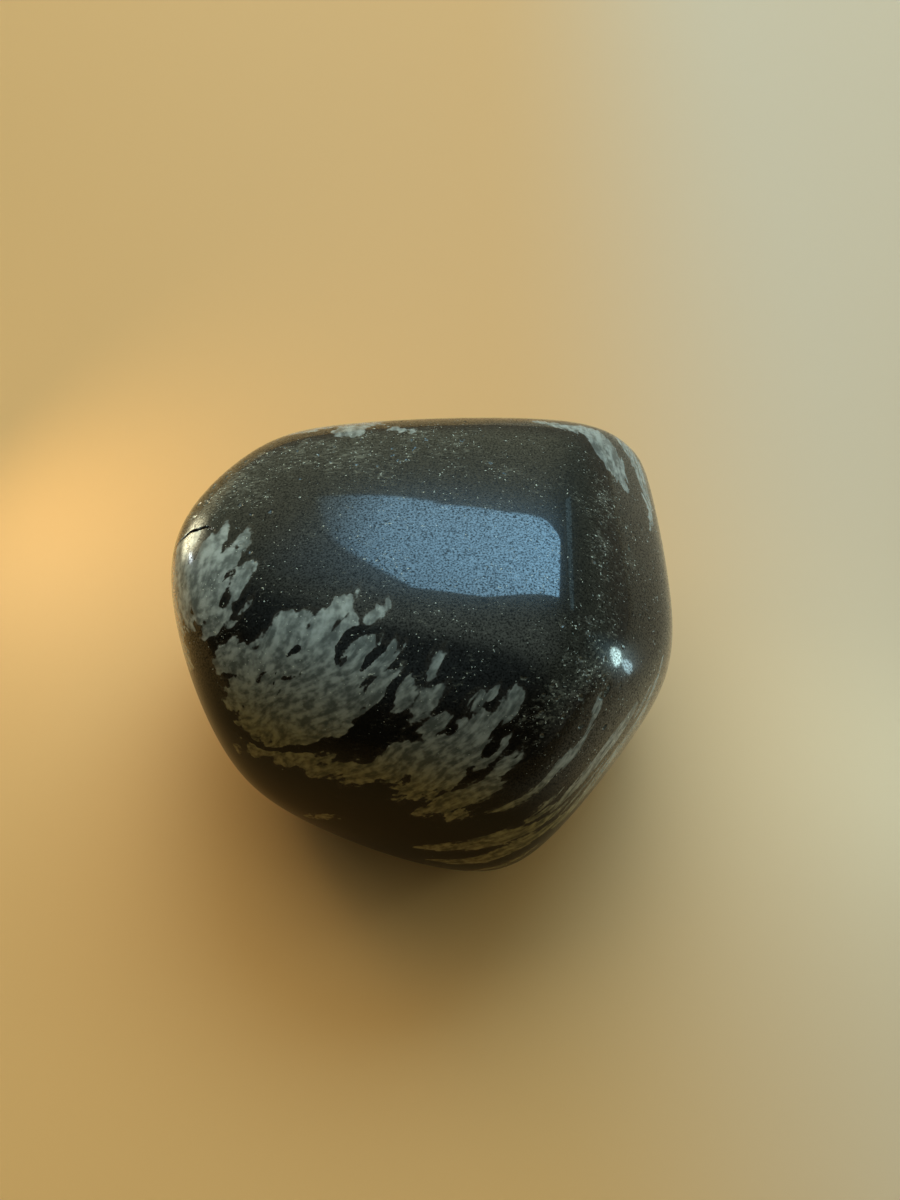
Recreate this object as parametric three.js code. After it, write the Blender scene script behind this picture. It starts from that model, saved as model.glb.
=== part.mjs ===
// A tumbled, polished piece of snowflake obsidian, about 34 x 32 x 22 mm, resting on its worn underside.
// The stone is one solid. Tumbling has worn it into shallow domed faces whose edges run softly together,
// so it is worked out as the space inside every dome, with the edges between the domes rounded off.
// Millimetres, +Z up. The origin is under the middle of the stone, on the surface that it rests on.
import * as THREE from 'three';
import { mergeVertices } from 'three/addons/utils/BufferGeometryUtils.js';

// Each worn face is a dome. heading turns from +X towards +Y and lift rises from level, both in degrees.
// reach is the distance from the heart of the stone to the crown of the dome, and bulge is the dome's
// radius, so a large bulge is a flatter face.
const wornFaces = {
  top: { heading: 110, lift: 84, reach: 10.9, bulge: 60 },
  rightShoulder: { heading: 0, lift: 52, reach: 14.3, bulge: 120 },
  frontShoulder: { heading: 258, lift: 50, reach: 13.5, bulge: 25 },
  front: { heading: 256, lift: 8, reach: 14.1, bulge: 60 },
  bandedFace: { heading: 319, lift: 18, reach: 15.8, bulge: 60 },
  right: { heading: 359, lift: 3, reach: 17.5, bulge: 160 },
  backRightCorner: { heading: 38, lift: 20, reach: 24.0, bulge: 100 },
  back: { heading: 93, lift: 33, reach: 15.7, bulge: 300 },
  backLow: { heading: 90, lift: -5, reach: 16.5, bulge: 80 },
  backLeft: { heading: 133, lift: 26, reach: 18.05, bulge: 30 },
  left: { heading: 172, lift: 8, reach: 18.55, bulge: 25 },
  leftFrontUnder: { heading: 202, lift: -13, reach: 15.3, bulge: 40 },
  frontUnder: { heading: 242, lift: -30, reach: 14.8, bulge: 60 },
  frontTipUnder: { heading: 276, lift: -32, reach: 17.1, bulge: 60 },
  rightFrontUnder: { heading: 323, lift: -19, reach: 15.6, bulge: 100 },
  rightUnder: { heading: 20, lift: -42, reach: 17.4, bulge: 80 },
  backUnder: { heading: 90, lift: -42, reach: 16.0, bulge: 60 },
  leftUnder: { heading: 180, lift: -42, reach: 15.8, bulge: 50 },
  underside: { heading: 0, lift: -90, reach: 10.8, bulge: 60 },
};
const edgeSoftness = 0.75; // how widely tumbling has rounded the edges between two faces
const restingDepth = 10.5; // from the heart of the stone down to the flat spot that it rests on
const gridSteps = 26; // squares along each side of the cube grid that is wrapped round the stone
const outerReach = 40; // a distance from the heart that is outside the stone in every direction
const halvings = 40; // halvings of the search for the surface, far below the grid's own size

const obsidian = new THREE.MeshStandardMaterial({ color: 0x1b1a18, roughness: 0.12, metalness: 0 });

function unitVector(heading, lift) {
  const turn = THREE.MathUtils.degToRad(heading);
  const rise = THREE.MathUtils.degToRad(lift);
  const level = Math.cos(rise);
  return new THREE.Vector3(level * Math.cos(turn), level * Math.sin(turn), Math.sin(rise));
}

const domes = Object.values(wornFaces).map(({ heading, lift, reach, bulge }) => ({
  centre: unitVector(heading, lift).multiplyScalar(reach - bulge),
  bulge,
}));

// Negative inside the stone and positive outside it. The soft maximum of the heights above the domes
// is what rounds the edges.
function heightAboveStone(point) {
  const heights = domes.map(({ centre, bulge }) => point.distanceTo(centre) - bulge);
  const highest = Math.max(...heights);
  const total = heights.reduce((sum, height) => sum + Math.exp((height - highest) / edgeSoftness), 0);
  return highest + edgeSoftness * Math.log(total);
}

// The point where a ray from the heart of the stone leaves it, found by halving.
function surfacePoint(direction) {
  let inner = 0;
  let outer = outerReach;
  const point = new THREE.Vector3();
  for (let step = 0; step < halvings; step += 1) {
    const middle = (inner + outer) / 2;
    if (heightAboveStone(point.copy(direction).multiplyScalar(middle)) < 0) {
      inner = middle;
    } else {
      outer = middle;
    }
  }
  return point;
}

// A cube's grid, evened out over the sphere by its tangent warp, is pushed out to the worn surface.
function stoneGeometry() {
  const grid = new THREE.BoxGeometry(2, 2, 2, gridSteps, gridSteps, gridSteps);
  grid.deleteAttribute('normal');
  grid.deleteAttribute('uv');
  const geometry = mergeVertices(grid);
  const places = geometry.getAttribute('position');
  const direction = new THREE.Vector3();
  const even = (along) => Math.tan((along * Math.PI) / 4);
  for (let i = 0; i < places.count; i += 1) {
    direction.set(even(places.getX(i)), even(places.getY(i)), even(places.getZ(i))).normalize();
    const point = surfacePoint(direction);
    places.setXYZ(i, point.x, point.y, Math.max(point.z, -restingDepth));
  }
  geometry.computeBoundingBox();
  const middle = geometry.boundingBox.getCenter(new THREE.Vector3());
  geometry.translate(-middle.x, -middle.y, restingDepth);
  geometry.computeVertexNormals();
  return geometry;
}

const snowflakeObsidian = new THREE.Group();
const stone = new THREE.Mesh(stoneGeometry(), obsidian);
stone.name = 'stone';
snowflakeObsidian.add(stone);

export default snowflakeObsidian;
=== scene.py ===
import math
import random
import bpy
import numpy
from mathutils import Matrix, Quaternion, Vector
from mathutils.bvhtree import BVHTree


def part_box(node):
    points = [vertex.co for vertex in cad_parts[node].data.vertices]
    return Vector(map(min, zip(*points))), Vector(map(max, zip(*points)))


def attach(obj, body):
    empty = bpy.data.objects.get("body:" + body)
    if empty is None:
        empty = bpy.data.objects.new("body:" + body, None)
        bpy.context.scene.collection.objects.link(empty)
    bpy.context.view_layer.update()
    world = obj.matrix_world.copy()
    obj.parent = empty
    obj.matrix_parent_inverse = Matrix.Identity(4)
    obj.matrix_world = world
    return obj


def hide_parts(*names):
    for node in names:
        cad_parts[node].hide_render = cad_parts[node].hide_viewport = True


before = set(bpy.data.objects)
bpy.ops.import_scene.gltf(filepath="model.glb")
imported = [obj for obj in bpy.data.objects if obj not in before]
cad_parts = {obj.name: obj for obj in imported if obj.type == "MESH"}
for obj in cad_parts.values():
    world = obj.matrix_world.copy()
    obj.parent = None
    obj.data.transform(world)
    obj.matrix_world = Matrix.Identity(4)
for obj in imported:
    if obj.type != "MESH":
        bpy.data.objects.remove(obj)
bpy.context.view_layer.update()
mm = 0.001  # the frame is in metres, and a small stone is easier to think about in millimetres
stoneLow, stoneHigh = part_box("stone")
# all directions are taken from the heart, a point near the middle of the stone
heartAside = Vector((0.12, -0.42, 0)) * mm
heart = (stoneLow + stoneHigh) / 2 + heartAside


def pointing(heading, lift):
    # heading turns from +X towards +Y and lift rises from level, both in degrees
    turn, rise = math.radians(heading), math.radians(lift)
    return Vector((math.cos(rise) * math.cos(turn), math.cos(rise) * math.sin(turn), math.sin(rise)))


def aimAt(thing, target):
    thing.rotation_euler = (target - thing.location).to_track_quat("-Z", "Y").to_euler()


def selectOnly(piece):
    bpy.ops.object.select_all(action="DESELECT")
    piece.select_set(True)
    bpy.context.view_layer.objects.active = piece


cameraPlan = {
    "target": Vector((-0.45, -0.25, 0.2)) * mm,  # from the heart of the stone
    "heading": 270,
    "lift": 57,
    "away": 80 * mm,
    "lens": 34.7,
    "shift": (0.025, 0.028),  # the stone sits a little left of the middle and below it
}


def makeCamera(plan):
    bpy.ops.object.select_all(action="DESELECT")
    target = heart + plan["target"]
    bpy.ops.object.camera_add(location=target + pointing(plan["heading"], plan["lift"]) * plan["away"])
    camera = bpy.context.active_object
    camera.name = "camera"
    camera.data.lens = plan["lens"]
    camera.data.clip_start = 1 * mm
    aimAt(camera, target)
    camera.data.shift_x, camera.data.shift_y = plan["shift"]
    bpy.context.scene.camera = camera


# A lamp stands away from the heart in its direction, facing the heart, with its sizes in millimetres.
# Its panes are what shines of it, each as how soft its edges are and the directions of its corners.
# A lamp with a "sharp" share is an oval that shines fully that far from its middle and fades out to its rim,
# which is 0.5 away. A hidden lamp lights the stone and doesn't show in its polish.
lampPlans = {
    "window": {
        "heading": 74, "lift": 45, "away": 600, "size": (780, 320),
        "watts": 5.8, "colour": (0.34, 0.7, 1.0),
        "panes": [
            (0.018, [(109.5, 34), (108, 29.5), (100, 32.3), (90, 35.5), (93, 56.5), (98, 55.3), (102.5, 51),
                     (106.5, 46.5), (109.5, 41)]),
            (0.008, [(95, 35.5), (76, 36.3), (74, 58.3), (98, 55.5)]),
            (0.008, [(81, 36.9), (63, 33), (53, 31), (39, 41), (55, 52), (74, 58.3), (80, 58)]),
        ],
        "fade": 1.36,  # how bright its right end is; its left end is 1 less
        "farEnd": (0.76, 0.92),  # between which shares of its length it dims at the left
        "farEndShine": 0.25,
    },
    "windowHaze": {
        "heading": 88, "lift": 46, "away": 620, "size": (840, 400), "sharp": 0.0,
        "watts": 0.65, "colour": (0.3, 0.65, 1.0),
    },
    "windowSide": {
        "heading": 43, "lift": 29, "away": 600, "size": (290, 34), "roll": -27,
        "watts": 0.022, "colour": (0.4, 0.8, 1.0),
    },
    "cornerLamp": {
        "heading": 353.9, "lift": 8.2, "away": 42, "size": (5.2, 11.0), "roll": -37, "sharp": 0.28,
        "watts": 0.0022, "colour": (0.66, 0.97, 0.95),
    },
    "lowCornerLamp": {
        "heading": 348.8, "lift": 3.8, "away": 30, "size": (2.5, 6.6), "roll": -12, "sharp": 0.25,
        "watts": 0.00027, "colour": (0.6, 0.92, 1.0),
    },
    "cornerHaze": {
        "heading": 355, "lift": 9, "away": 46, "size": (17, 44), "roll": -14, "sharp": 0.0,
        "watts": 0.0011, "colour": (0.3, 0.7, 0.9),
    },
    "leftLamp": {
        "heading": 153.8, "lift": 12.4, "away": 74, "size": (10, 10), "sharp": 0.1,
        "watts": 0.0038, "colour": (0.85, 0.97, 1.0),
    },
    "leftGlow": {
        "heading": 150, "lift": 11.5, "away": 45, "size": (16, 23), "roll": 28, "sharp": 0.1,
        "watts": 0.0105, "colour": (1.0, 0.92, 0.6),
    },
    "windowFill": {
        "heading": 106, "lift": 44, "away": 600, "size": (600, 600), "hidden": True,
        "watts": 1.7, "colour": (1.0, 0.94, 0.5),
    },
}


def makeLamp(name, plan):
    bpy.ops.object.select_all(action="DESELECT")
    place = heart + pointing(plan["heading"], plan["lift"]) * plan["away"] * mm
    bpy.ops.object.light_add(type="AREA", location=place)
    lamp = bpy.context.active_object
    lamp.name = name
    lamp.data.shape = "ELLIPSE" if "sharp" in plan else "RECTANGLE"
    lamp.data.size, lamp.data.size_y = [side * mm for side in plan["size"]]
    lamp.data.energy = plan["watts"]
    lamp.data.color = plan["colour"]
    lamp.visible_glossy = not plan.get("hidden", False)
    lamp.visible_camera = False
    aimAt(lamp, heart)
    lamp.rotation_euler.rotate_axis("Z", math.radians(plan.get("roll", 0)))
    if "panes" in plan:
        shapePanes(lamp, plan)
    if "sharp" in plan:
        fadeRim(lamp, plan["sharp"])


class Reading:
    # a socket that adds its own Math nodes when it stands in an expression
    def __init__(self, finish, socket):
        self.finish = finish
        self.socket = socket

    def maths(self, operation, *values):
        return self.finish.node("ShaderNodeMath", {"operation": operation}, dict(enumerate(values)))

    def __add__(self, other):
        return self.maths("ADD", self, other)

    def __sub__(self, other):
        return self.maths("SUBTRACT", self, other)

    def __rsub__(self, other):
        return self.maths("SUBTRACT", other, self)

    def __mul__(self, other):
        return self.maths("MULTIPLY", self, other)

    def larger(self, other):
        return self.maths("MAXIMUM", self, other)

    def smaller(self, other):
        return self.maths("MINIMUM", self, other)

    __radd__ = __add__
    __rmul__ = __mul__


class Finish:
    # the nodes of a material, a lamp or the room
    def __init__(self, owner, shader):
        owner.use_nodes = True
        self.owner = owner
        self.tree = owner.node_tree
        self.shader = self.tree.nodes[shader]

    def node(self, kind, settings=None, inputs=None, output=0):
        made = self.tree.nodes.new(kind)
        for name, value in (settings or {}).items():
            setattr(made, name, value)
        for key, value in (inputs or {}).items():
            self.feed(made.inputs[key], value)
        return Reading(self, made.outputs[output])

    def feed(self, socket, value):
        if isinstance(value, Reading):
            self.tree.links.new(value.socket, socket)
        else:
            socket.default_value = value

    def set(self, **values):
        for name, value in values.items():
            self.feed(self.shader.inputs[name.replace("_", " ")], value)

    def vector(self, operation, *values, scale=None, output=0):
        inputs = dict(enumerate(values))
        if scale is not None:
            inputs["Scale"] = scale
        return self.node("ShaderNodeVectorMath", {"operation": operation}, inputs, output)

    def turned(self, place, axes, sizes):
        # the place along other axes, measured in a size for each axis
        turn = Matrix(axes).transposed().to_euler()
        inputs = {"Vector": place, "Rotation": turn, "Scale": sizes}
        return self.node("ShaderNodeMapping", {"vector_type": "TEXTURE"}, inputs)

    def step(self, value, low, high, start=0.0, end=1.0):
        # goes smoothly from start to end as the value rises from low to high
        inputs = {"Value": value, "From Min": low, "From Max": high, "To Min": start, "To Max": end}
        return self.node("ShaderNodeMapRange", {"interpolation_type": "SMOOTHSTEP"}, inputs)

    def noise(self, place, size=1.0, detail=1.0, roughness=0.5, output=0):
        inputs = {"Vector": place, "Scale": 1 / size, "Detail": detail, "Roughness": roughness}
        return self.node("ShaderNodeTexNoise", None, inputs, output)

    def lobes(self, place):
        # how far each point is from the middle of its lobe, for lobes about 1 apart
        return self.node("ShaderNodeTexVoronoi", None, {"Vector": place, "Scale": 1.0})

    def mix(self, share, first, second):
        return self.node("ShaderNodeMix", {"data_type": "RGBA"}, {0: share, 6: first, 7: second}, 2)

    def bump(self, height, depth):
        return self.node("ShaderNodeBump", None, {"Height": height, "Distance": depth, "Strength": 1.0})


def onLamp(lamp, plan, heading, lift):
    # where a direction from the heart meets the lamp, with each of the lamp's sides counted from 0 to 1
    ray = pointing(heading, lift)
    straight = pointing(plan["heading"], plan["lift"])
    aside = lamp.rotation_euler.to_matrix().transposed() @ (ray / ray.dot(straight)) * plan["away"]
    return Vector((aside.x / plan["size"][0] + 0.5, aside.y / plan["size"][1] + 0.5, 0))


def shapePanes(lamp, plan):
    # only what lies inside every side of a pane shines, and the left end fades away
    finish = Finish(lamp.data, "Emission")
    across = finish.node("ShaderNodeNewGeometry", output="Parametric")
    shine = None
    for soft, pane in plan["panes"]:
        corners = [onLamp(lamp, plan, heading, lift) for heading, lift in pane]
        middle = sum(corners, Vector()) / len(corners)
        lit = None
        for first, second in zip(corners, corners[1:] + corners[:1]):
            inward = (second - first).cross(Vector((0, 0, 1))).normalized()
            if inward.dot(middle - first) < 0:
                inward = -inward
            depth = finish.vector("DOT_PRODUCT", across, tuple(inward), output="Value") - inward.dot(first)
            side = finish.step(depth, -soft, soft)
            lit = side if lit is None else lit * side
        shine = lit if shine is None else shine.larger(lit)
    along = finish.node("ShaderNodeSeparateXYZ", None, {0: across})
    farEnd = finish.step(along, *plan["farEnd"], 1.0, plan["farEndShine"])
    finish.set(Strength=shine * (plan["fade"] - along) * farEnd)


def fadeRim(lamp, sharp):
    # each of the lamp's sides is counted from 0 to 1, so its middle is at 0.5
    finish = Finish(lamp.data, "Emission")
    across = finish.node("ShaderNodeNewGeometry", output="Parametric")
    away = finish.vector("DISTANCE", across, (0.5, 0.5, 0), output="Value")
    finish.set(Strength=finish.step(away, sharp, 0.5, 1.0, 0.0))


rounding = {
    "join": 0.01,  # corners closer than this are one corner, in millimetres
    "flat": 60,  # pairs of triangles up to this angle apart become one four-sided face, in degrees
    "levels": 2,
    "rounds": 3,  # how often the corners are put right, each time more finely
}


def keepSize(piece, rounds):
    # rounding draws the corners in a little, so each is first moved out by as much as it is drawn in
    true = [corner.co.copy() for corner in piece.data.vertices]
    for _ in range(rounds):
        rounded = piece.evaluated_get(bpy.context.evaluated_depsgraph_get()).data
        drawnIn = [true[i] - rounded.vertices[i].co for i in range(len(true))]
        for corner, gap in zip(piece.data.vertices, drawnIn):
            corner.co += gap
        piece.data.update()
    print("corners lie within", round(max(gap.length for gap in drawnIn) / mm, 3), "mm of the frame's")


def makeStone(plan):
    piece = bpy.data.objects.new("polishedStone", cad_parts["stone"].data.copy())
    bpy.context.scene.collection.objects.link(piece)
    selectOnly(piece)
    bpy.ops.mesh.customdata_custom_splitnormals_clear()
    bpy.ops.object.mode_set(mode="EDIT")
    bpy.ops.mesh.select_all(action="SELECT")
    bpy.ops.mesh.remove_doubles(threshold=plan["join"] * mm)
    flat = math.radians(plan["flat"])
    bpy.ops.mesh.tris_convert_to_quads(face_threshold=flat, shape_threshold=flat)
    bpy.ops.object.mode_set(mode="OBJECT")
    smooth = piece.modifiers.new("roundness", "SUBSURF")
    smooth.levels = plan["levels"]
    smooth.render_levels = plan["levels"]
    keepSize(piece, plan["rounds"])
    bpy.ops.object.modifier_apply(modifier=smooth.name)
    bpy.ops.object.shade_smooth()
    return piece


# The glass flowed in thin layers before it set, and its snowflakes grew along them.
flow = {
    "up": Vector((-0.557, 0.051, 0.829)).normalized(),  # up through the layers
    "along": Vector((0.378, 0.904, 0.2)),  # about the way that the glass flowed
    "lean": 0.35,  # how much a snowflake's grain turns from its layer's edge towards the flow
}
flow["across"] = flow["up"].cross(flow["along"]).normalized()
flow["along"] = flow["across"].cross(flow["up"]).normalized()  # now level with the layers

# Each snowflake patch is a cluster of lumps. A lump has its heading and lift from the heart in degrees,
# then its length along the grain and its width in millimetres, and last how far it turns from the grain.
snowflakes = {
    "leftEnd": [
        (184, 27, 6.0, 2.6, 0), (177, 23, 4.4, 2.0, 0), (187, 22, 4.6, 1.6, 0), (171, 27, 1.8, 0.8, 0),
        (186, 32, 5.4, 2.4, 0), (192, 30, 4.0, 1.8, 0), (175, 38, 2.0, 0.9, 0), (172, 33, 2.0, 0.9, 0),
        (190, 38, 3.0, 1.3, 0), (198, 29, 2.8, 1.6, 0), (201, 35, 1.6, 0.5, 0), (186, 17, 4.5, 2.4, 0),
        (194, 14, 3.6, 1.8, 0), (180, 22, 4.0, 2.2, 0), (178, 30.5, 3.6, 1.9, 0),
    ],
    "leftFront": [
        (216, 41, 4.0, 2.4, -10), (224, 50, 5.4, 1.4, -15), (231, 47, 4.6, 1.2, -10),
        (240, 57, 2.8, 0.9, -25), (242, 48, 3.5, 1.6, -8), (252, 47, 3.0, 1.2, 0),
        (254, 41, 3.0, 1.6, 0), (237, 38, 6.0, 3.6, 0), (233, 30, 6.0, 3.6, 0), (214, 30, 3.0, 2.2, 0),
        (216, 23, 3.4, 2.0, 0), (224, 22, 5.0, 2.4, 0), (232, 22, 4.0, 1.8, 0), (243, 32, 5.0, 2.4, 0),
        (223, 40, 5.0, 2.2, -10), (228, 19, 4.0, 1.4, -15), (235, 23, 4.4, 1.6, -15),
        (208, 27, 2.8, 1.7, 0), (222, 30, 2.6, 1.6, 0),
    ],
    "frontIsland": [(262, 41, 2.6, 1.3, 0), (270, 40, 3.0, 1.2, 0), (272, 48, 1.8, 0.7, 10)],
    "front": [
        (285, 38, 1.9, 0.9, 0), (290, 39, 1.4, 0.8, 0), (294, 35, 3.0, 1.1, 0), (284, 32, 3.4, 1.5, 0),
        (272, 33, 2.4, 1.3, 0), (276, 26, 6.0, 3.0, 0), (263, 23, 4.5, 2.4, 0), (272, 19, 6.0, 2.2, 0),
        (288, 20, 3.0, 1.0, 0), (286, 24, 3.0, 0.8, 0), (285, 15, 3.0, 0.9, 0), (276, 12, 5.0, 1.5, 0),
        (277, 7, 2.0, 0.7, 0),
    ],
    "frontLow": [
        (228, 13, 4.4, 1.2, -15), (236, 15, 4.4, 1.3, -15), (246, 16, 4.4, 1.4, -15),
        (254, 17, 3.6, 1.4, -10),
    ],
    "backRim": [
        (99, 37, 1.8, 0.7, 60), (114, 32, 2.6, 2.6, 0), (111, 25, 5.0, 3.0, 0), (125, 23, 4.0, 2.0, 0),
    ],
    "nearTable": [(243, -6, 2.4, 0.7, 0)],
}

# A strand follows one layer over the surface: the heading and lift of each bend, and how wide it is there.
strands = [
    [(320, 26, 0.3), (319, 25, 0.65), (316, 22, 0.6), (313, 20, 0.35), (310, 18, 0.6), (307, 17, 0.85),
     (303, 16, 0.75), (299, 14, 0.5), (293, 11, 0.55), (288, 9, 0.4), (284, 8, 0.15)],
    [(331, 12, 0.2), (327, 11, 0.8), (321, 10, 1.15), (316, 9, 1.1), (310, 7.5, 0.9), (304, 6, 0.75),
     (299, 4, 0.4)],
    [(345, 12, 0.2), (336, 7, 0.7), (331, 4, 1.2), (322, 3, 1.3), (314, 1, 1.3), (306, -1, 1.0),
     (300, -3, 0.5)],
    [(337, 11, 0.15), (333, 9.5, 0.35), (329, 8, 0.2)],
    [(318, 6, 0.15), (312, 4.5, 0.4), (306, 2.5, 0.45), (301, 0.5, 0.2)],
    [(303, 9, 0.15), (298, 7, 0.35), (294, 5, 0.15)],
    [(302, 5.5, 0.3), (298, 5, 0.5), (293, 3.5, 0.4)],
    [(304, 3.3, 0.3), (299, 2, 0.6), (294, 1, 0.7), (290, 0, 1.1), (286, -2, 1.3), (282, -4, 1.2),
     (277, -6.5, 1.0), (272, -8.5, 0.9), (267, -10.5, 0.3)],
    [(303, -0.5, 0.3), (299, -1.5, 0.7), (294, -3, 1.0), (288, -7, 1.2), (283, -12, 1.0),
     (277, -15, 0.9), (270, -17, 0.3)],
    [(296, -8, 0.2), (291, -13, 0.5), (286, -18, 0.6), (280, -22, 0.3)],
    [(340, -8, 0.2), (325, -10, 0.5), (312, -13, 0.6), (300, -20, 0.3)],
]

# Wider bands that are patches as much as strands, given as the strands are.
bands = [
    [(60, 27, 0.4), (52, 25, 0.9), (46, 20.5, 1.9), (42, 21, 2.7), (38, 21.5, 2.5), (34, 21.5, 1.6),
     (30, 21, 0.5)],
    [(48, 13, 0.8), (42, 13, 1.6), (36, 12.5, 1.7), (31, 13, 1.4), (27, 13.5, 1.0), (22, 15, 0.6),
     (19, 16, 0.15)],
]

# Black glass shows in gaps between patches and between their fingers. These are given as the strands are.
gaps = [
    [(214, 15, 0.3), (220, 13.5, 0.45), (227, 13, 0.5), (233, 16.5, 0.6), (239, 19.5, 0.6),
     (244, 23, 0.3)],
    [(261, 46, 0.3), (258, 42, 0.7), (257, 38, 0.9), (252, 32, 0.9), (246, 24, 0.5)],
    [(237, 43, 0.45), (235.5, 47, 0.8), (235, 51, 0.8), (239, 53.5, 0.75), (246, 55, 0.4)],
    [(246, 44, 0.4), (247.5, 47.5, 0.75), (251, 51, 0.6)],
    [(222.5, 30.5, 0.35), (222, 33, 0.45)],
    [(221.5, 38, 0.5), (222.5, 41, 0.75)],
]

# How gaps and hollows open the patches.
gapPlan = {
    "cover": 0.45,  # no patch counts as deeper than this, so that they show in its middle too
    "steepness": 3,  # how much of a patch's depth they take for each step inside them
}

# Places where a patch is open to the black glass, given as the lumps are.
hollows = [
    (187, 35, 1.8, 0.4, 0), (213, 26, 0.8, 0.35, 0), (239, 45, 1.7, 0.5, 0), (247, 46, 1.3, 0.3, 0),
    (289, 37, 1.0, 0.6, 0), (277, 32, 1.6, 0.8, 0), (287, 26, 1.6, 0.8, 0), (280, 18, 2.0, 0.3, 0),
]

# Tumbling opened one crack, given as a strand is, and knocked out pits, each as heading, lift and width.
blemishes = {
    "crack": [(171, 21, 0.06), (170, 24, 0.16), (169, 25.5, 0.12), (169, 27, 0.2), (168.5, 29, 0.14),
              (170, 31, 0.04)],
    "crackDepth": 0.2,
    "crackBank": 0.06,  # how far in from its edges the crack is at its full depth
    "pits": [(320, 36, 0.45), (318, 17, 0.4), (302, 31, 0.4), (311, 22, 0.5), (332, 40, 0.3),
             (314, 29, 0.55), (322, 26, 0.5), (319, 33, 0.35), (308, 32, 0.3), (320, 25, 0.4),
             (316, 2, 0.4), (155, 30, 0.3), (164, 37, 0.3), (162, 41, 0.35), (134, 29, 0.3),
             (177, 38, 0.3), (180, 40, 0.3), (185, 41, 0.25)],
    "scattered": 70,  # how many more pits there are, in the worn areas
    "width": (0.12, 0.34),  # of a scattered pit
    "dents": 3,  # dents side by side make an uneven pit
    "dentRadius": (0.25, 0.45),  # for a pit's width
    "steepness": 0.6,  # how deep a dent is for its radius
    "fine": 0.24,  # pits up to this width are cut in a smaller net of finer faces
    "seed": 4,
}

# Areas where tumbling left more tiny pits than elsewhere, given as the lumps are.
wornAreas = [
    (126, 39, 10.0, 4.0, 60), (148, 30, 7.0, 4.6, 0), (160, 25, 5.0, 4.0, 0), (100, 44, 8.0, 3.0, 60),
    (10, 34, 10.0, 3.2, 0), (325, 34, 7.0, 3.6, 0), (75, 45, 8.0, 2.0, 60), (307, 32, 5.4, 3.2, 0),
]

# More patches for the back, the sides and the underside, in clusters: heading, lift, and how many lumps.
unseenPatches = {
    "clusters": [(75, 5, 5), (110, -12, 4), (150, -5, 6), (195, -15, 5), (20, -25, 5), (330, -35, 4),
                 (250, -50, 5), (80, -55, 5), (160, -60, 4)],
    "spread": 6.5,  # how far lumps lie from a cluster's middle, in degrees
    "length": (1.6, 5.0),
    "width": (0.7, 2.2),
    "turn": 8,  # how far lumps turn from the grain, in degrees
    "seed": 11,
}


def grainAt(normal, turn):
    # snowflakes show where their layer meets the surface, and lean towards the way that the glass flowed
    edge = flow["up"].cross(normal)
    if edge.dot(flow["along"]) < 0:
        edge = -edge
    lean = flow["along"] - normal * flow["along"].dot(normal)
    grain = (edge + lean * flow["lean"]).normalized()
    return Quaternion(normal, math.radians(turn)) @ grain


def unseenLumps(plan):
    chance = random.Random(plan["seed"])
    lumps = []
    for heading, lift, count in plan["clusters"]:
        for _ in range(count):
            lumpHeading = heading + chance.gauss(0, plan["spread"]) / math.cos(math.radians(lift))
            lumpLift = lift + chance.gauss(0, plan["spread"])
            length = chance.uniform(*plan["length"])
            width = chance.uniform(*plan["width"])
            lumps.append((lumpHeading, lumpLift, length, width, chance.gauss(0, plan["turn"])))
    return lumps


farOutside = -10.0  # the depth of what is inside nothing


def surfaceAt(solid, heading, lift):
    # the place on the surface in one direction, in millimetres, and which way it faces
    out = pointing(heading, lift)
    point, normal, _, _ = solid.ray_cast(heart + out * 100 * mm, -out)  # from well outside
    return point / mm, normal


def cornersOf(piece):
    corners = numpy.empty(len(piece.data.vertices) * 3)
    piece.data.vertices.foreach_get("co", corners)
    return corners.reshape(-1, 3) / mm


def insideLumps(corners, solid, lumps):
    # how far inside a lump each corner is, in millimetres, and below nothing outside them all
    deepest = numpy.full(len(corners), farOutside)
    for heading, lift, length, width, turn in lumps:
        middle, normal = surfaceAt(solid, heading, lift)
        grain = grainAt(normal, turn)
        axes = numpy.array((grain, normal.cross(grain), normal))
        halfSizes = numpy.array((length, width, max(length, width))) / 2
        away = numpy.linalg.norm((corners - numpy.array(middle)) @ axes.T / halfSizes, axis=1)
        deepest = numpy.maximum(deepest, (1 - away) * width / 2)
    return deepest


def trace(solid, bends):
    # places close together along a strand, each with its width
    pace = 1.5  # degrees
    line = []
    for first, second in zip(bends, bends[1:]):
        pieces = max(1, round(math.hypot(second[0] - first[0], second[1] - first[1]) / pace))
        for i in range(pieces):
            heading, lift, width = [a + (b - a) * i / pieces for a, b in zip(first, second)]
            line.append((numpy.array(surfaceAt(solid, heading, lift)[0]), width))
    heading, lift, width = bends[-1]
    line.append((numpy.array(surfaceAt(solid, heading, lift)[0]), width))
    return line


def insideStrands(corners, solid, paths):
    # the same for strands and whatever else is given as they are
    deepest = numpy.full(len(corners), farOutside)
    for bends in paths:
        line = trace(solid, bends)
        for (start, startWidth), (end, endWidth) in zip(line, line[1:]):
            run = end - start
            share = ((corners - start) @ run / (run @ run)).clip(0, 1)
            away = numpy.linalg.norm(corners - start - numpy.outer(share, run), axis=1)
            deepest = numpy.maximum(deepest, (startWidth + (endWidth - startWidth) * share) / 2 - away)
    return deepest


def keepDepths(piece, name, depths):
    piece.data.attributes.new(name, "FLOAT", "POINT").data.foreach_set("value", depths)


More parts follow.
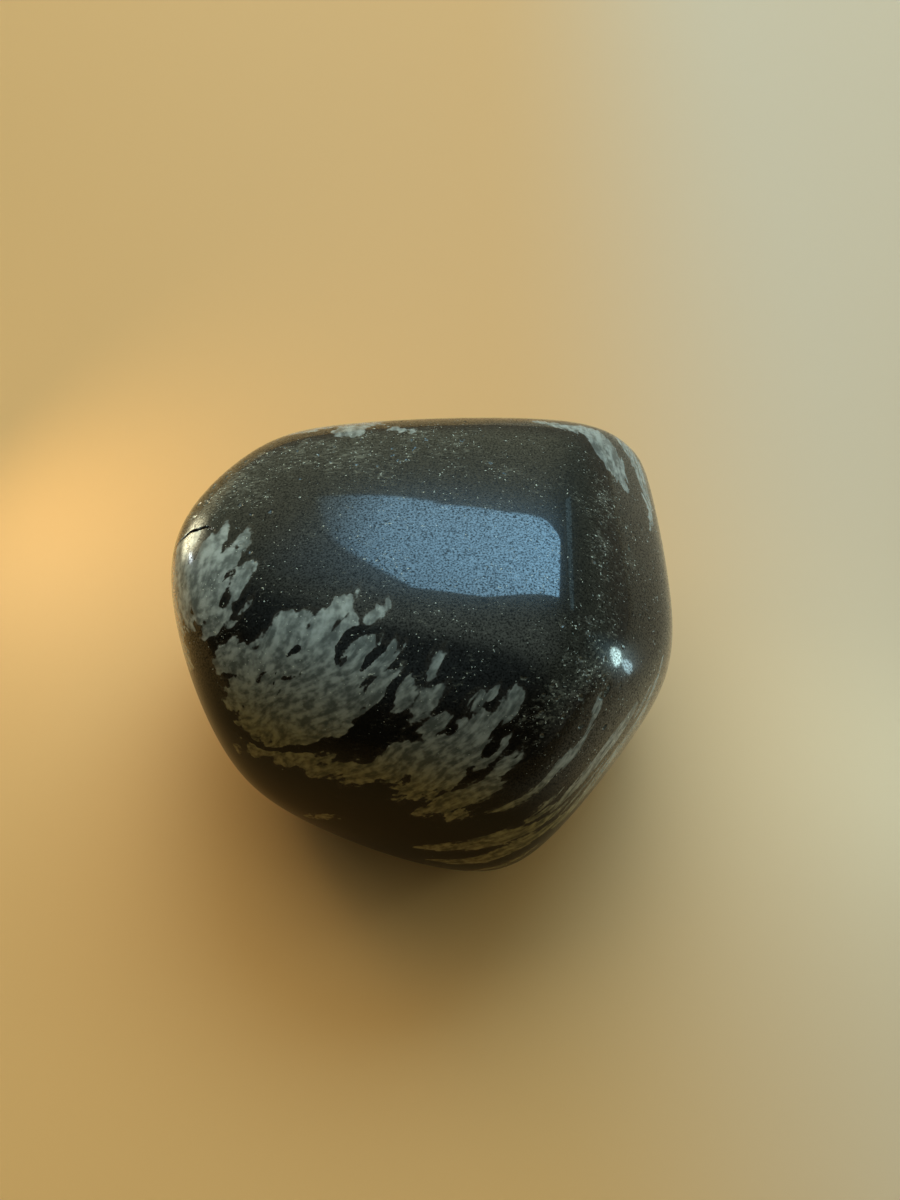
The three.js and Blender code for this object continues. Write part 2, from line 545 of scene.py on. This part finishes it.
def refine(piece, spots, reach, cuts):
    # finer faces near some spots, so that small marks have clean edges
    bpy.ops.object.mode_set(mode="EDIT")
    bpy.ops.mesh.select_mode(type="FACE")
    bpy.ops.mesh.select_all(action="DESELECT")
    bpy.ops.object.mode_set(mode="OBJECT")
    middles = numpy.empty(len(piece.data.polygons) * 3)
    piece.data.polygons.foreach_get("center", middles)
    middles = middles.reshape(-1, 3) / mm
    near = numpy.zeros(len(middles), bool)
    for spot in spots:
        near |= numpy.linalg.norm(middles - spot, axis=1) < reach
    piece.data.polygons.foreach_set("select", near)
    bpy.ops.object.mode_set(mode="EDIT")
    bpy.ops.mesh.subdivide(number_cuts=cuts, smoothness=1.0)
    bpy.ops.object.mode_set(mode="OBJECT")


def wearStone(piece, solid, plan):
    # knocks the crack and the pits into the surface, and marks where they are
    chance = random.Random(plan["seed"])
    pits = []
    for heading, lift, width in plan["pits"]:
        pits.append((numpy.array(surfaceAt(solid, heading, lift)[0]), width))
    for _ in range(plan["scattered"]):
        heading, lift, length, width, _ = chance.choice(wornAreas)
        aside = Vector([chance.gauss(0, length / 4) for _ in range(3)])
        place = surfaceAt(solid, heading, lift)[0] + aside
        nearest = solid.find_nearest(place * mm)[0] / mm
        pits.append((numpy.array(nearest), chance.uniform(*plan["width"])))
    crackLine = [spot for spot, _ in trace(solid, plan["crack"])]
    refine(piece, crackLine + [spot for spot, width in pits if width > plan["fine"]], reach=0.4, cuts=3)
    refine(piece, [spot for spot, width in pits if width <= plan["fine"]], reach=0.25, cuts=2)
    corners = cornersOf(piece)
    normals = numpy.empty(len(corners) * 3)
    piece.data.vertices.foreach_get("normal", normals)
    chipped = numpy.full(len(corners), farOutside)
    deepest = numpy.zeros(len(corners))
    for spot, width in pits:
        for _ in range(plan["dents"]):
            dent = spot + numpy.array([chance.gauss(0, width / 4) for _ in range(3)])
            dent = numpy.array(solid.find_nearest(Vector(dent) * mm)[0] / mm)
            radius = width * chance.uniform(*plan["dentRadius"])
            away = numpy.linalg.norm(corners - dent, axis=1) / radius
            chipped = numpy.maximum(chipped, (1 - away) * radius)
            bowl = (1 - away.clip(0, 1) ** 2) ** 2  # 1 in the middle and 0 from its rim outwards
            deepest = numpy.maximum(deepest, bowl * radius * plan["steepness"])
    cracked = insideStrands(corners, solid, [plan["crack"]])
    deepest = numpy.maximum(deepest, (cracked / plan["crackBank"]).clip(0, 1) * plan["crackDepth"])
    corners = (corners - normals.reshape(-1, 3) * deepest[:, None]) * mm
    piece.data.vertices.foreach_set("co", corners.ravel())
    piece.data.update()
    keepDepths(piece, "chipDepth", chipped)
    keepDepths(piece, "crackDepth", cracked)
    print("stone has", len(pits), "pits and", len(piece.data.polygons), "faces")


def markStone(piece):
    # every corner of the mesh keeps how deep it lies inside each kind of mark
    solid = BVHTree.FromObject(piece, bpy.context.evaluated_depsgraph_get())
    refine(piece, [spot for bends in strands for spot, _ in trace(solid, bends)], reach=0.6, cuts=1)
    wearStone(piece, solid, blemishes)
    corners = cornersOf(piece)
    lumps = [lump for patch in snowflakes.values() for lump in patch] + unseenLumps(unseenPatches)
    depths = insideLumps(corners, solid, lumps).clip(max=gapPlan["cover"])
    opened = numpy.maximum(insideLumps(corners, solid, hollows), insideStrands(corners, solid, gaps))
    depths = depths - opened.clip(min=0) * gapPlan["steepness"]
    keepDepths(piece, "snowflakeDepth", numpy.maximum(depths, insideStrands(corners, solid, bands)))
    keepDepths(piece, "strandDepth", insideStrands(corners, solid, strands))
    keepDepths(piece, "wornDepth", insideLumps(corners, solid, wornAreas))


obsidian = {
    "blackGlass": (0.0012, 0.0011, 0.001, 1),
    "brownGlass": (0.013, 0.010, 0.007, 1),  # all round the snowflakes
    "darkGrey": (0.085, 0.093, 0.09, 1),
    "paleGrey": (0.30, 0.315, 0.305, 1),
    "dust": (0.15, 0.145, 0.12, 1),
    "fleck": (0.55, 0.56, 0.5, 1),
    "chip": (0.25, 0.24, 0.2, 1),
    # painted shade inside the crack
    "crack": (0.001, 0.001, 0.001, 1),
    # the sizes of patterns along the flow, across it and up through its layers
    "fingerSize": (1.8, 0.9, 0.36),
    "ribSize": (5.0, 2.5, 0.26),
    "streakSize": (1.8, 0.8, 0.3),
    "lobeSize": (1.5, 0.65, 0.4),
    "drift": 1.6,  # how far the layers wander
    "ruffle": 1.1,  # how far the lobes' edges do
    "brush": (0.35, 1, 1),  # draws the finest marks out from side to side
    "dustCover": 0.6,  # how much of what is under them the marks hide
    "dullDustLoss": 0.45,
    "fleckCover": 0.7,
    "chipCover": 0.25,
    "roughness": 0.26,
    "lightBend": 1.24,  # low, as the polish over it does most of the shining
    "polishRoughness": 0.035,
    "polishLightBend": 1.5,
    "grainDepth": 0.002,
    # the low front loses its gloss, and its snowflakes are tinted darker and browner there, a painted shade
    # for the dim warm light that reaches them
    "dullShadeWay": pointing(248, -35),
    "dullShadeFrom": (3.4, 9.0),  # how far that way from the heart the gloss loss and the painted shade begin, and how far they are full
    "paintedShadeTint": (0.8, 0.62, 0.27),
}


def makeObsidian(piece, plan):
    finish = Finish(bpy.data.materials.new("snowflakeObsidian"), "Principled BSDF")
    place = finish.node("ShaderNodeTexCoord", output="Object")
    place = finish.vector("SCALE", place, scale=1 / mm)
    drift = finish.vector("SUBTRACT", finish.noise(place, size=5, output="Color"), (0.5, 0.5, 0.5))
    drifted = finish.vector("ADD", place, finish.vector("SCALE", drift, scale=plan["drift"]))

    def layered(sizes):
        return finish.turned(drifted, (flow["along"], flow["across"], flow["up"]), sizes)

    def depthOf(name):
        return finish.node("ShaderNodeAttribute", {"attribute_name": name}, output="Fac")

    # where the low front loses its gloss and gets painted shade
    dullShadeDepth = finish.vector("DOT_PRODUCT", place, tuple(plan["dullShadeWay"]), output="Value")
    dullAndShaded = finish.step(dullShadeDepth - plan["dullShadeWay"].dot(heart) / mm, *plan["dullShadeFrom"])

    # where the grey is: patches with fingers along the layers, and ribbed strands
    frills = finish.noise(place, size=0.3, detail=1.5) - 0.5
    fingers = finish.noise(layered(plan["fingerSize"])) - 0.5
    inPatch = depthOf("snowflakeDepth") + fingers * 1.2 + frills * 0.3
    ribs = finish.noise(layered(plan["ribSize"])) - 0.5
    inStrand = depthOf("strandDepth") + ribs * 0.6 + frills * 0.25
    inside = inPatch.larger(inStrand)
    flake = finish.step(inside, -0.05, 0.09)
    nearFlake = finish.step(inside, -0.3, 0.0)

    # how pale the grey is: streaks along the layers, blotches, and darker seams between lobes
    streaks = finish.noise(layered(plan["streakSize"]), detail=2, roughness=0.55)
    blotches = finish.noise(place, size=0.4, detail=2)
    ruffle = finish.vector("SCALE", finish.noise(place, size=0.7, output="Color"), scale=plan["ruffle"])
    lobes = finish.lobes(finish.vector("ADD", layered(plan["lobeSize"]), ruffle))
    tone = finish.step(streaks * 0.62 + blotches * 0.3 - lobes * 0.1, 0.28, 0.56)
    grey = finish.mix(tone, plan["darkGrey"], plan["paleGrey"])
    # painted shade: the grey gets darker and browner towards the low front
    grey = finish.mix(dullAndShaded, grey, finish.vector("MULTIPLY", grey, plan["paintedShadeTint"]))
    colour = finish.mix(flake, finish.mix(nearFlake, plan["blackGlass"], plan["brownGlass"]), grey)

    # what tumbling left: fine dust, pale flecks, chipped pits and the crack
    worn = finish.step(depthOf("wornDepth"), -1.5, 1.5)
    clusters = finish.noise(place, size=1.6, detail=2)
    brushed = finish.vector("MULTIPLY", place, plan["brush"])
    dust = finish.noise(brushed, size=0.2, detail=3, roughness=0.75) + worn * 0.14 + clusters * 0.35
    dusty = finish.step(dust, 0.77, 1.0) * (plan["dustCover"] - dullAndShaded * plan["dullDustLoss"])
    colour = finish.mix(dusty, colour, plan["dust"])
    flecks = finish.noise(place, size=0.17) + worn * 0.045 + clusters * 0.25 - dullAndShaded * 0.1
    fleck = finish.step(flecks, 0.85, 0.9)
    colour = finish.mix(fleck * plan["fleckCover"], colour, plan["fleck"])
    chipped = finish.step(depthOf("chipDepth") + frills * 0.12, -0.02, 0.04)
    colour = finish.mix(chipped * plan["chipCover"], colour, plan["chip"])
    # the crack is painted near black, a painted shade inside it
    colour = finish.mix(finish.step(depthOf("crackDepth"), -0.01, 0.03), colour, plan["crack"])

    # the polish: a clear coat, thinner in the grain, the pinholes, the flecks and the chips
    grain = finish.noise(place, size=0.12)
    pinholes = finish.step(finish.noise(place, size=0.13), 0.68, 0.76)
    polish = 0.64 + (grain - 0.5) * 3.2 - pinholes * 0.6 - fleck * 0.5 - chipped * 0.3
    finish.set(Base_Color=colour, Roughness=plan["roughness"], IOR=plan["lightBend"])
    finish.set(Coat_Weight=polish.smaller(1) * (1 - dullAndShaded), Coat_Roughness=plan["polishRoughness"])
    finish.set(Coat_IOR=plan["polishLightBend"], Normal=finish.bump(grain, plan["grainDepth"] * mm))
    piece.data.materials.clear()
    piece.data.materials.append(finish.owner)
    print("obsidian has", len(finish.tree.nodes), "nodes")


floorPlan = {
    "size": 2000,
    "colour": (0.72, 0.36, 0.115, 1),
    # a painted sheen of the window's glare on the floor to the right
    "rightSheenColour": (0.66, 0.46, 0.30, 1),
    "rightSheenFrom": (5, 40),  # between which places along +X the painted sheen comes in
    "frontShadeColour": (0.25, 0.13, 0.04, 1),  # painted shade well in front of the stone, where less light falls
    "frontShadeFrom": (-130, -30),  # along +Y
    "roughness": 0.6,
}


def makeFloor(plan):
    bpy.ops.object.select_all(action="DESELECT")
    bpy.ops.mesh.primitive_plane_add(size=plan["size"] * mm, location=(0, 0, stoneLow.z))
    floor = bpy.context.active_object
    floor.name = "floor"
    finish = Finish(bpy.data.materials.new("paleFloor"), "Principled BSDF")
    place = finish.node("ShaderNodeTexCoord", output="Object")
    place = finish.vector("SCALE", place, scale=1 / mm)
    x = finish.node("ShaderNodeSeparateXYZ", None, {0: place}, "X")
    y = finish.node("ShaderNodeSeparateXYZ", None, {0: place}, "Y")
    # painted sheen on the floor to the right
    colour = finish.mix(finish.step(x, *plan["rightSheenFrom"]), plan["colour"], plan["rightSheenColour"])
    # painted shade on the floor well in front of the stone
    colour = finish.mix(finish.step(y, *plan["frontShadeFrom"]), plan["frontShadeColour"], colour)
    finish.set(Base_Color=colour, Roughness=plan["roughness"])
    floor.data.materials.append(finish.owner)


# How bright the room is towards each side, in linear colours. A spread is where one side gives way to the
# next, as two cosines of the angle from that side's middle.
room = {
    "right": (0.29, 0.34, 0.255, 1),
    "back": (0.66, 0.70, 0.48, 1),
    "backMiddle": (95, 20),  # heading and lift
    "backSpread": (0.8, 0.96),
    "overhead": (0.78, 0.94, 0.80, 1),
    "overheadSpread": (0.55, 0.95),
    "level": (0.24, 0.23, 0.17, 1),  # the far end of the table, all round
    "levelSpread": (0.0, 0.25),
    "front": (0.17, 0.22, 0.21, 1),
    "frontLow": (0.05, 0.043, 0.025, 1),
    "frontSpread": (0.3, 0.9),
    "brightMiddle": (51, -14),  # the heading and lift that are furthest from the dark front
    "brightSpread": (-0.3, 0.0),
    "glow": (1.2, 1.1, 0.65, 1),  # a warm patch low down on the left
    "glowMiddle": (128, 4),
    "glowSpread": (0.97, 0.995),
}


def makeRoom(plan):
    finish = Finish(bpy.data.worlds.new("room"), "Background")
    facing = finish.node("ShaderNodeTexCoord", output="Generated")

    def towards(middle, spread):
        cosine = finish.vector("DOT_PRODUCT", facing, tuple(pointing(*middle)), output="Value")
        return finish.step(cosine, *spread)

    above = (0, 90)
    colour = finish.mix(towards(plan["backMiddle"], plan["backSpread"]), plan["right"], plan["back"])
    colour = finish.mix(towards(above, plan["overheadSpread"]), colour, plan["overhead"])
    colour = finish.mix(towards(above, plan["levelSpread"]), plan["level"], colour)
    front = finish.mix(towards(above, plan["frontSpread"]), plan["frontLow"], plan["front"])
    colour = finish.mix(towards(plan["brightMiddle"], plan["brightSpread"]), front, colour)
    colour = finish.mix(towards(plan["glowMiddle"], plan["glowSpread"]), colour, plan["glow"])
    finish.set(Color=colour)
    bpy.context.scene.world = finish.owner
    bpy.context.scene.view_settings.view_transform = "Standard"


makeCamera(cameraPlan)
makeFloor(floorPlan)
makeRoom(room)
for lampName, lampPlan in lampPlans.items():
    makeLamp(lampName, lampPlan)
print("camera, floor and lights are set")
stone = makeStone(rounding)
markStone(stone)
makeObsidian(stone, obsidian)
print("stone is finished")
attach(stone, "root")
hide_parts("stone")
